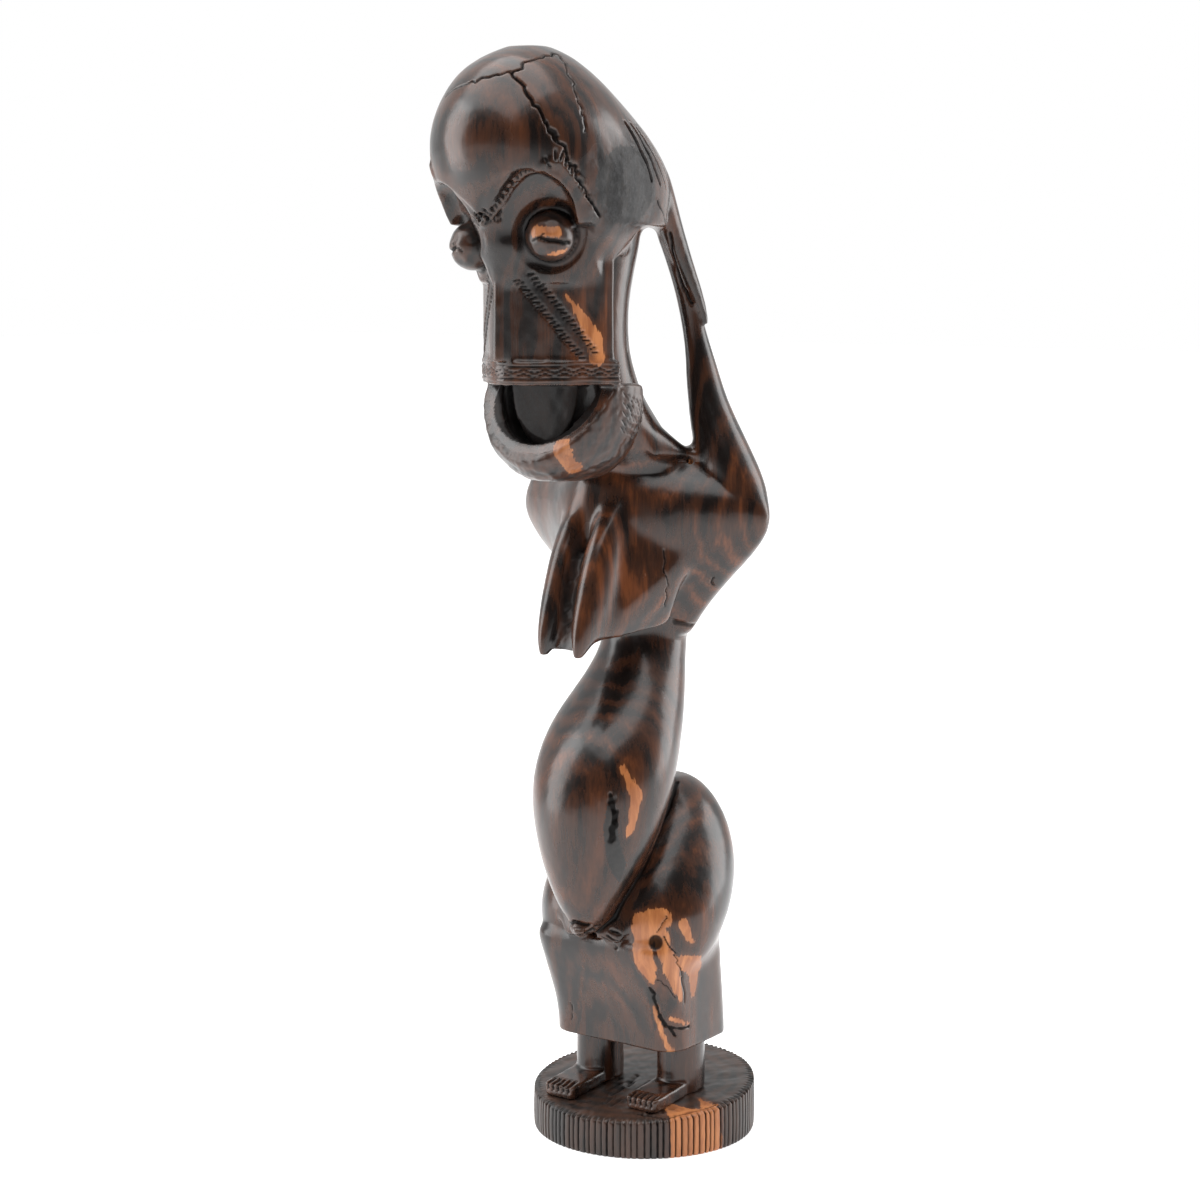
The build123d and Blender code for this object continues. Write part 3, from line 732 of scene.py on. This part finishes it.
def makePlinth():
    perGroove, rimRows, topRings = base["columnsPerGroove"], base["rimRows"], base["topRings"]
    flat = base["radius"] - base["edgeRound"]  # where the top begins
    columns = base["grooves"] * perGroove
    own = np.random.default_rng(5)
    shift = own.normal(0, 0.13, base["grooves"])
    deep = own.uniform(0.7, 1.1, base["grooves"])
    nick = own.uniform(0.45, 1.0, base["grooves"])
    groove = np.arange(columns) // perGroove
    offset = (np.arange(columns) % perGroove) / perGroove - 0.5
    turn = 2 * math.pi * (groove + offset + shift[groove] * (1 - np.abs(offset) * 2)) / base["grooves"]
    valley = np.clip(1 - np.abs(offset) * 4, 0, 1) * deep[groove]
    notch = np.clip(1 - np.abs(offset + 0.06) * 2.3, 0, 1) * nick[groove]
    rise = math.tan(math.radians(base["slope"]))
    rows, marks = [], []
    level = base["thickness"] + base["radius"] * np.sin(turn) * rise

    def ring(reach, height, flaw):
        rows.append(np.stack([reach * np.cos(turn), reach * np.sin(turn), height], axis=1))
        marks.append(flaw)

    ring(np.full(columns, 0.0), np.zeros(columns), np.zeros(columns))
    ring(np.full(columns, base["radius"] - base["footInset"]), np.zeros(columns), np.zeros(columns))
    for row in range(rimRows + 1):
        share = row / rimRows
        belly = 0.25 * math.sin(share * math.pi) - 0.25 - 0.5 * max(0, 0.06 - share) / 0.06
        fill = 1 - 0.35 * np.sin(share * 9 + groove * 2.1) ** 2
        reach = base["radius"] + belly - valley * base["grooveDepth"] * fill
        height = share * (level - 0.6 - notch * base["nickDepth"])
        # the groove valleys are darkened as painted shade
        ring(reach, height, valley * 0.9)
    for row in range(topRings):
        share = row / (topRings - 1)
        reach = flat * (1 - share) + 0.01 - valley * 0.8 * max(0, 1 - row / 2)
        bite = notch * base["nickDepth"] * max(0, 1 - flat * share / 2.6)
        height = base["thickness"] + reach * np.sin(turn) * rise - bite - 0.12 * (row == 0)
        # painted shade in the grooves where they reach the top
        ring(reach, height, valley * 0.8 * max(0, 1 - row / 3))
    points = np.concatenate(rows)
    here = np.arange(columns)
    after = (here + 1) % columns
    quads = []
    for k in range(len(rows) - 1):
        low, high = k * columns, (k + 1) * columns
        quads.append(np.stack([low + here, low + after, high + after, high + here], axis=1))
    made = Clay(points, np.concatenate(quads))
    made.flaw = np.concatenate(marks)
    return made


disc = makePlinth()


def chipPlinth():
    top = (disc.normals[:, 2] > 0.8)
    x, y = disc.points[:, 0], disc.points[:, 1]
    disc.points[top, 2] += (0.22 * ripple(disc.points[top], 11, 61) + 0.08 * ripple(disc.points[top], 4, 62))
    for side in both:
        # the gouges are darkened a little as painted shade
        for _ in range(base["gougesPerFoot"]):
            start = np.array((side * feet["stance"] + dice.uniform(-13, 13), dice.uniform(-44, -8), 20))
            way = np.array((dice.uniform(-5, 5), dice.uniform(-3, 4), 0))
            line = disc.trace([start, start + way], 3)
            disc.cut(line, dice.uniform(1.0, 1.8), dice.uniform(0.4, 0.8), 0.35, True)
    for _ in range(base["gougesBetween"]):
        start = np.array((dice.uniform(-7, 7), dice.uniform(-34, 8), 20))
        way = np.array((dice.uniform(-1.5, 1.5), dice.uniform(4, 9), 0))
        disc.cut(disc.trace([start, start + way], 3), 1.6, 0.7, 0.4, True)
    disc.cut(disc.trace([(22, -35, 18), (35, -33, 18), (45, -10, 20)], 3), 1.2, 0.7, 0.6)
    # sapwood in one part of the rim, running on to the top's edge
    angle = np.degrees(np.arctan2(y, x))
    reach = np.hypot(x, y)
    middle = (base["sapFrom"] + base["sapTo"]) / 2
    half = (base["sapTo"] - base["sapFrom"]) / 2
    inner = 38 + 6 * np.sin(angle * 0.21)
    streaky = 3.5 * grit(np.stack([angle * 0.5, x * 0, x * 0], axis=1), 1.7, 9)
    disc.sap = np.minimum(half - np.abs(angle - middle) + streaky, (reach - inner) * 1.2) * 0.6
    disc.feel()


chipPlinth()
print("plinth notched:", len(disc.points), "points")

finishes = {
    "polished_wood": {"gloss": 0.25, "black": (0.0072, 0.0048, 0.0042), "brown": (0.036, 0.0142, 0.0078),
                      "red": (0.150, 0.046, 0.0165), "matt": 0.0},
    "plinth_wood": {"gloss": 0.42, "black": (0.012, 0.0092, 0.0082), "brown": (0.034, 0.0175, 0.0115),
                    "red": (0.10, 0.038, 0.018), "matt": 0.0},
    "putty": {"gloss": 0.42, "black": (0.012, 0.011, 0.011), "brown": (0.03, 0.026, 0.024),
              "red": (0.07, 0.045, 0.033), "matt": 0.75},
    "resin": {"gloss": 0.3, "black": (0.006, 0.006, 0.006), "brown": (0.012, 0.01, 0.009),
              "red": (0.03, 0.018, 0.013), "matt": 0.35},
}
sapColours = ((0.26, 0.083, 0.024), (0.47, 0.178, 0.06))


class Bench:
    # lays out one material's nodes
    def __init__(self, name):
        self.material = bpy.data.materials.new(name)
        self.material.use_nodes = True
        self.tree = self.material.node_tree
        self.tree.nodes.clear()

    def put(self, kind, settings=None, inputs=None):
        node = self.tree.nodes.new(kind)
        for name, value in (settings or {}).items():
            setattr(node, name, value)
        for name, value in (inputs or {}).items():
            if isinstance(value, bpy.types.NodeSocket):
                self.tree.links.new(value, node.inputs[name])
            else:
                node.inputs[name].default_value = value
        return node

    def noise(self, vector, scale, detail=4, rough=0.55, bend=0.0):
        return self.put("ShaderNodeTexNoise", None, {"Vector": vector, "Scale": scale, "Detail": detail,
                                                     "Roughness": rough, "Distortion": bend}).outputs["Fac"]

    def sum(self, kind, first, second, third=0.0):
        return self.put("ShaderNodeMath", {"operation": kind}, {0: first, 1: second, 2: third}).outputs[0]

    def spread(self, value, low, high, newLow=0.0, newHigh=1.0):
        ends = {"Value": value, "From Min": low, "From Max": high, "To Min": newLow, "To Max": newHigh}
        return self.put("ShaderNodeMapRange", {"interpolation_type": "SMOOTHSTEP"}, ends).outputs[0]

    def blend(self, share, first, second):
        first, second = (v if isinstance(v, bpy.types.NodeSocket) else (*v, 1) for v in (first, second))
        return self.put("ShaderNodeMix", {"data_type": "RGBA"}, {0: share, 6: first, 7: second}).outputs[2]

    def stretched(self, x, y, z):
        where = self.put("ShaderNodeTexCoord").outputs["Object"]
        return self.put("ShaderNodeMapping", None, {"Vector": where, "Scale": (x, y, z)}).outputs[0]

    def mark(self, name):
        return self.put("ShaderNodeAttribute", {"attribute_name": name}).outputs["Fac"]


def woodFinish(name):
    look = finishes[name]
    bench = Bench(name)
    even = bench.stretched(1, 1, 1)
    upright = bench.stretched(1, 1, 0.16)
    fine = bench.stretched(1, 1, 0.035)
    flaw, rough, sap, edge, warm = (bench.mark(each) for each in ("flaw", "rough", "sap", "edge", "warm"))
    # heartwood: rings of the log, streaks, and broad black and brown zones
    ringKind = {"wave_type": "RINGS", "rings_direction": "Z", "wave_profile": "SIN"}
    rings = bench.put("ShaderNodeTexWave", ringKind, {
        "Vector": bench.stretched(1, 1, 0.22), "Scale": 46, "Distortion": 7.5, "Detail": 3.5,
        "Detail Scale": 1.3, "Detail Roughness": 0.6}).outputs["Fac"]
    zones = bench.noise(bench.stretched(1, 1, 0.55), 24, 3, 0.5, 0.4)
    streaks = bench.noise(upright, 150, 5, 0.6, 0.8)
    fibres = bench.noise(fine, 950, 3, 0.6, 0.2)
    tone = bench.sum("MULTIPLY_ADD", rings, 0.34, bench.sum("MULTIPLY_ADD", streaks, 0.75, -0.3))
    tone = bench.sum("MULTIPLY_ADD", zones, 1.15, bench.sum("SUBTRACT", tone, 0.42))
    tone = bench.sum("MULTIPLY_ADD", bench.sum("SUBTRACT", fibres, 0.5), 0.5, tone)
    colour = bench.blend(bench.spread(tone, 0.14, 0.46), look["black"], look["brown"])
    redShare = bench.sum("MULTIPLY_ADD", warm, 0.6, 0.4)
    reddish = bench.sum("MULTIPLY", bench.spread(tone, 0.42, 0.86, 0, 0.9), redShare)
    colour = bench.blend(reddish, colour, look["red"])
    # sapwood with a ragged border
    ragged = sap
    for scale, bend, amount in ((230, 0.5, 3.6), (900, 0.3, 3.4)):
        uneven = bench.sum("SUBTRACT", bench.noise(upright, scale, 3, 0.6, bend), 0.5)
        ragged = bench.sum("MULTIPLY_ADD", uneven, amount, ragged)
    pale = bench.blend(bench.spread(streaks, 0.35, 0.65), sapColours[0], sapColours[1])
    pale = bench.blend(bench.spread(fibres, 0.6, 0.72, 0, 0.6), pale, (0.16, 0.042, 0.012))
    isSap = bench.spread(ragged, -0.25, 0.35)
    stained = bench.spread(ragged, -2.6, 0.0, 0, 0.4)
    colour = bench.blend(stained, colour, (0.11, 0.036, 0.014))
    colour = bench.blend(isSap, colour, pale)
    # worn edges, matt filler, and the black of cracks with painted shade in grooves, creases and hollows
    colour = bench.blend(bench.sum("MULTIPLY", edge, 0.35), colour, (0.10, 0.05, 0.03))
    speckle = bench.noise(even, 420, 5, 0.7)
    dust = bench.blend(bench.spread(speckle, 0.4, 0.66), (0.005, 0.005, 0.0054), (0.026, 0.0255, 0.0265))
    matt = bench.sum("MAXIMUM", rough, look["matt"])
    dusty = bench.sum("MULTIPLY", matt, bench.spread(speckle, 0.3, 0.6, 0.35, 0.85))
    colour = bench.blend(dusty, colour, dust)
    colour = bench.blend(bench.spread(flaw, 0.05, 0.8, 0, 0.93), colour, (0.0032, 0.0026, 0.0024))
    # sheen
    smears = bench.noise(bench.stretched(1, 1, 0.4), 75, 4, 0.6)
    sheen = bench.sum("MULTIPLY_ADD", smears, 0.16, look["gloss"] - 0.08)
    sheen = bench.sum("MULTIPLY_ADD", matt, 0.24, sheen)
    sheen = bench.sum("MULTIPLY_ADD", flaw, 0.3, sheen)
    sheen = bench.sum("MULTIPLY_ADD", isSap, 0.08, sheen)
    # fine relief: fibres, hand-tool dents, grit in the filler
    height = bench.sum("MULTIPLY", fibres, 0.00003)
    height = bench.sum("MULTIPLY_ADD", bench.noise(even, 130, 2), 0.00006, height)
    height = bench.sum("MULTIPLY_ADD", bench.sum("MULTIPLY", speckle, matt), 0.0002, height)
    bump = bench.put("ShaderNodeBump", None, {"Strength": 0.9, "Distance": 1.0, "Height": height}).outputs[0]
    dull = bench.spread(matt, 0.1, 1.0, 1.0, 0.6)  # less shine in filler, and least in cracks
    dull = bench.sum("MULTIPLY", bench.spread(flaw, 0.1, 0.8, 0.5, 0.06), dull)
    skin = bench.put("ShaderNodeBsdfPrincipled", None, {
        "Base Color": colour, "Roughness": sheen, "Normal": bump, "IOR": 1.46,
        "Specular IOR Level": dull, "Coat Weight": 0.1, "Coat Roughness": 0.12})
    bench.put("ShaderNodeOutputMaterial", None, {"Surface": skin.outputs[0]})
    return bench.material


materials = {name: woodFinish(name) for name in finishes}
print("finishes mixed")

slotOf = {row["node"]: row["material_slot"] for row in frame["record"]["subparts"]}


def nearestNodes():
    names = sorted(name for name in frame["nodes"] if name != "plinth")
    corners, faces, owner = [], [], []
    for index, name in enumerate(names):
        mesh = frame["nodes"][name].data
        start = len(corners)
        corners += [vertex.co / mm for vertex in mesh.vertices]
        for face in mesh.polygons:
            faces.append([start + k for k in face.vertices])
            owner.append(index)
    tree = BVHTree.FromPolygons(corners, faces)
    middles = figure.points[figure.quads].mean(axis=1)
    found = np.array([tree.find_nearest(middle)[2] for middle in middles.tolist()])
    return names, np.array(owner)[found]


skinTree = BVHTree.FromPolygons(figure.points.tolist(), figure.quads.tolist())


def deepMiddle(ring, outward):
    # the first depth from which every spoke to the ring stays inside the wood
    best, fewest = None, 1e9
    for depth in (1.5, 4, 8, 13, 19, 26):
        hub = ring.mean(axis=0) - outward * depth
        some = ring[::max(1, len(ring) // 40)]
        spokes = [hub + (place - hub) * share for place in some for share in (0, 0.35, 0.7, 0.9)]
        outside = 0
        for place in spokes:
            near, facing, _, _ = skinTree.find_nearest(place.tolist())
            outside += (np.array(place) - near) @ np.array(facing) > 0
        if outside < fewest:
            best, fewest = hub, outside
        if not outside:
            break
    return best


def stitch(clay, chosen, name, slotName, closed=True):
    used, quads = np.unique(clay.quads[chosen], return_inverse=True)
    quads = quads.reshape(-1, 4)
    points, normals = clay.points[used], clay.normals[used]
    faces = quads.tolist()
    marks = {key: getattr(clay, key)[used] for key in ("flaw", "rough", "sap", "edge", "warm")}
    if closed:
        # close each open end towards its own middle, deep in the wood
        sides = {}
        for face in faces:
            for k in range(4):
                pair = (face[k], face[(k + 1) % 4])
                if sides.pop((pair[1], pair[0]), None) is None:
                    sides[pair] = True
        onward = {}
        for start, end in sides:
            onward.setdefault(end, []).append(start)
        extraPoints = []
        while onward:
            first = next(iter(onward))
            loop, here = [first], first
            while True:
                ways = onward[here]
                here = ways.pop()
                if not ways:
                    onward.pop(loop[-1])
                if here == first or here not in onward:
                    break
                loop.append(here)
            # an inner ring just under the skin, then a fan to a middle that lies in the wood
            ring = points[loop] - normals[loop] * 0.7
            start = len(points) + len(extraPoints)
            hub = start + len(loop)
            extraPoints += list(ring) + [deepMiddle(ring, normals[loop].mean(axis=0))]
            for k in range(len(loop)):
                after = (k + 1) % len(loop)
                faces += [(loop[k], loop[after], start + after, start + k), (start + k, start + after, hub)]
        if extraPoints:
            points = np.concatenate([points, extraPoints])
            normals = np.concatenate([normals, np.tile((0.0, 0.0, 1.0), (len(extraPoints), 1))])
            marks = {key: np.concatenate([value, np.zeros(len(extraPoints))]) for key, value in marks.items()}
    mesh = bpy.data.meshes.new(name)
    mesh.from_pydata((points * mm).tolist(), [], faces)
    mesh.polygons.foreach_set("use_smooth", [True] * len(mesh.polygons))
    for key, values in marks.items():
        mesh.attributes.new(key, "FLOAT", "POINT").data.foreach_set("value", values.astype(np.float32))
    mesh.normals_split_custom_set_from_vertices(normals.tolist())
    mesh.materials.append(materials[slotName])
    piece = bpy.data.objects.new(name, mesh)
    bpy.context.scene.collection.objects.link(piece)
    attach(piece, "root")
    return piece


names, owners = nearestNodes()
missing = []
for index, name in enumerate(names):
    chosen = owners == index
    if chosen.sum() < 20:
        missing.append(name)
        continue
    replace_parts(stitch(figure, chosen, "carved_" + name, slotOf[name]), name)
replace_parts(stitch(disc, np.full(len(disc.quads), True), "notched_plinth", slotOf["plinth"], False), "plinth")
print("parted into pieces; without a surface of their own:", missing)

studio = {
    "turn": 36.0,  # degrees from straight ahead towards the figure's left
    "dip": 7.6,
    "height": 0.390,
    "away": 1.131,
    "aside": 0.020,
    "lens": 77.4,
    "sensor": 36,
    "softboxes": [  # name, place to the right, ahead and up, height aimed at, width, height, power
        ("top softbox", (-0.2, 0.2, 1.25), 0.38, 1.5, 1.2, 15),
        ("left softbox", (-1.15, 0.1, 0.55), 0.25, 0.7, 1.3, 13),
        ("right softbox", (1.2, -0.25, 0.5), 0.25, 0.7, 1.3, 13),
    ],
    "paperGlow": 0.55,
    "room": {"From Min": -0.35, "From Max": 0.6, "To Min": 0.9, "To Max": 0.02},  # behind, then in front
}


def softbox(name, place, aim, width, height, power):
    lamp = bpy.data.lights.new(name, "AREA")
    lamp.shape = "RECTANGLE"
    lamp.size, lamp.size_y, lamp.energy = width, height, power
    box = bpy.data.objects.new(name, lamp)
    box.location = place
    way = np.array(aim, float) - np.array(place, float)
    turn = math.atan2(way[1], way[0]) - math.pi / 2
    tilt = math.pi / 2 + math.atan2(way[2], math.hypot(way[0], way[1]))
    box.rotation_euler = (tilt, 0, turn)
    bpy.context.scene.collection.objects.link(box)
    return box


def makeStudio():
    turn, dip = math.radians(studio["turn"]), math.radians(studio["dip"])
    towards = np.array((math.sin(turn), -math.cos(turn), 0))
    right = np.array((math.cos(turn), math.sin(turn), 0))
    camera = bpy.data.objects.new("camera", bpy.data.cameras.new("camera"))
    camera.data.lens, camera.data.sensor_width = studio["lens"], studio["sensor"]
    camera.data.clip_start, camera.data.clip_end = 0.05, 40
    camera.location = towards * studio["away"] - right * studio["aside"] + (0, 0, studio["height"])
    camera.rotation_euler = (math.pi / 2 - dip, 0, turn)
    bpy.context.scene.collection.objects.link(camera)
    bpy.context.scene.camera = camera

    for name, (side, ahead, up), aim, width, height, power in studio["softboxes"]:
        softbox(name, right * side + towards * ahead + (0, 0, up), (0, 0, aim), width, height, power)
    floorMesh = bpy.data.meshes.new("floor")
    floorMesh.from_pydata([(-9, -9, 0), (9, -9, 0), (9, 9, 0), (-9, 9, 0)], [], [(0, 1, 2, 3)])
    floor = bpy.data.objects.new("floor", floorMesh)
    floor.location.z = -0.0002
    paper = Bench("white paper")
    weave = paper.noise(paper.stretched(1, 1, 1), 300, 3)
    shade = paper.blend(weave, (0.90, 0.90, 0.90), (0.92, 0.92, 0.92))
    surface = paper.put("ShaderNodeBsdfPrincipled", None, {
        "Base Color": shade, "Roughness": 0.9, "Emission Color": (1, 1, 1, 1),
        "Emission Strength": studio["paperGlow"]})
    paper.put("ShaderNodeOutputMaterial", None, {"Surface": surface.outputs[0]})
    floorMesh.materials.append(paper.material)
    bpy.context.scene.collection.objects.link(floor)

    # a white room that is dimmer in front of the figure, behind the camera
    world = bpy.data.worlds.new("white room")
    bpy.context.scene.world = world
    world.use_nodes = True
    tree = world.node_tree
    tree.nodes.clear()
    where = tree.nodes.new("ShaderNodeTexCoord")
    lean = tree.nodes.new("ShaderNodeVectorMath")
    lean.operation = "DOT_PRODUCT"
    lean.inputs[1].default_value = tuple(towards * 0.94 - (0, 0, 0.34))
    tree.links.new(where.outputs["Generated"], lean.inputs[0])
    grade = tree.nodes.new("ShaderNodeMapRange")
    grade.interpolation_type = "SMOOTHSTEP"
    for name, value in studio["room"].items():
        grade.inputs[name].default_value = value
    tree.links.new(lean.outputs["Value"], grade.inputs["Value"])
    seen = tree.nodes.new("ShaderNodeLightPath")
    pick = tree.nodes.new("ShaderNodeMath")
    pick.operation = "MAXIMUM"
    tree.links.new(seen.outputs["Is Camera Ray"], pick.inputs[0])
    tree.links.new(grade.outputs[0], pick.inputs[1])
    glow = tree.nodes.new("ShaderNodeBackground")
    glow.inputs["Color"].default_value = (1, 1, 1, 1)
    tree.links.new(pick.outputs[0], glow.inputs["Strength"])
    out = tree.nodes.new("ShaderNodeOutputWorld")
    tree.links.new(glow.outputs[0], out.inputs[0])


makeStudio()
bpy.context.scene.view_settings.view_transform = "Standard"
print("studio set")
